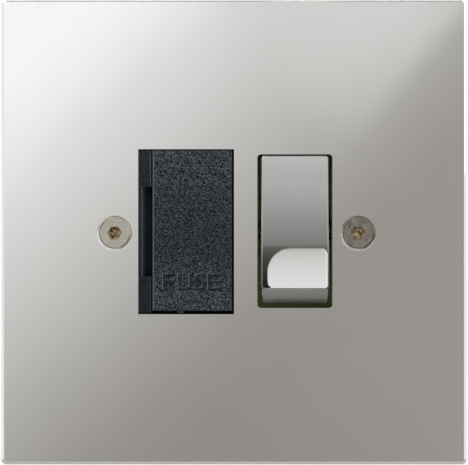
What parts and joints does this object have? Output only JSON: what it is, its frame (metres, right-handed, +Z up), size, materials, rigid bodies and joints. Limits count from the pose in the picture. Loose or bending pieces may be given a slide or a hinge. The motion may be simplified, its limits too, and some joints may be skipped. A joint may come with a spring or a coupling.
{
  "type": "fused connection unit",
  "caption": "Square polished metal wall plate with a pull-out fuse carrier and a metal rocker switch, over a moulded body with rear clamp terminals.",
  "frame": {"origin": "centre of the plate, in the plane of its rear rim, which is the wall surface", "axes": "+X right and +Z up as seen from the front, +Y into the wall, so the front faces -Y"},
  "size_m": [0.086, 0.0325, 0.086],
  "materials": {
    "plate_metal": "polished",
    "rocker_metal": "polished",
    "screw_steel": "turned",
    "zinc_steel": "zinc plated",
    "brass": "machined",
    "copper_strip": "rolled strip",
    "spring_bronze": "spring strip",
    "contact_silver": "silver",
    "spring_steel": "drawn wire",
    "nickel_cap": "nickel plated",
    "ceramic": "unglazed",
    "housing_plastic": "moulded",
    "carrier_plastic": "spark eroded",
    "base_plastic": "moulded",
    "rocker_plastic": "moulded",
    "plunger_nylon": "moulded"
  },
  "bodies": {
    "unit": {"front_plate": "plate_metal", "plate_screws": "screw_steel", "mounting_frame": "zinc_steel", "screw_bushes": "brass", "front_housing": "housing_plastic", "rear_base": "base_plastic", "assembly_screws": "zinc_steel", "upper_fuse_clip": "spring_bronze", "lower_fuse_clip": "spring_bronze", "line_link": "copper_strip", "supply_line_terminal": "brass", "supply_neutral_terminal": "brass", "load_line_terminal": "brass", "load_neutral_terminal": "brass", "earth_terminals": "brass", "earth_straps": "zinc_steel", "terminal_screws": "screw_steel", "fixed_tips": "contact_silver"},
    "rocker": {"rocker_cap": "rocker_metal", "rocker_body": "rocker_plastic", "plungers": "plunger_nylon", "plunger_springs": "spring_steel"},
    "carrier": {"fuse_carrier": "carrier_plastic", "fuse_body": "ceramic", "fuse_end_caps": "nickel_cap"},
    "line_contact": {"line_bridge": "copper_strip", "line_moving_tip": "contact_silver"},
    "neutral_contact": {"neutral_bridge": "copper_strip", "neutral_moving_tip": "contact_silver"}
  },
  "joints": [
    {"name": "rocker_swing", "type": "hinge", "parent": "unit", "child": "rocker", "pos_m": [0.01125, 0.0022, 0.0001], "axis": [1, 0, 0], "range_deg": [0, 22]},
    {"name": "carrier_slide", "type": "slide", "parent": "unit", "child": "carrier", "axis": [0, -1, 0], "range_m": [0, 0.0122]},
    {"name": "line_contact_swing", "type": "hinge", "parent": "unit", "child": "line_contact", "pos_m": [0.01435, 0.0097, 0.0001], "axis": [1, 0, 0], "range_deg": [-22, 0]},
    {"name": "neutral_contact_swing", "type": "hinge", "parent": "unit", "child": "neutral_contact", "pos_m": [0.00815, 0.0097, 0.0001], "axis": [1, 0, 0], "range_deg": [-22, 0]}
  ],
  "couplings": [
    {"joint": "line_contact_swing", "follows": "rocker_swing", "ratio": -1},
    {"joint": "neutral_contact_swing", "follows": "rocker_swing", "ratio": -1}
  ]
}
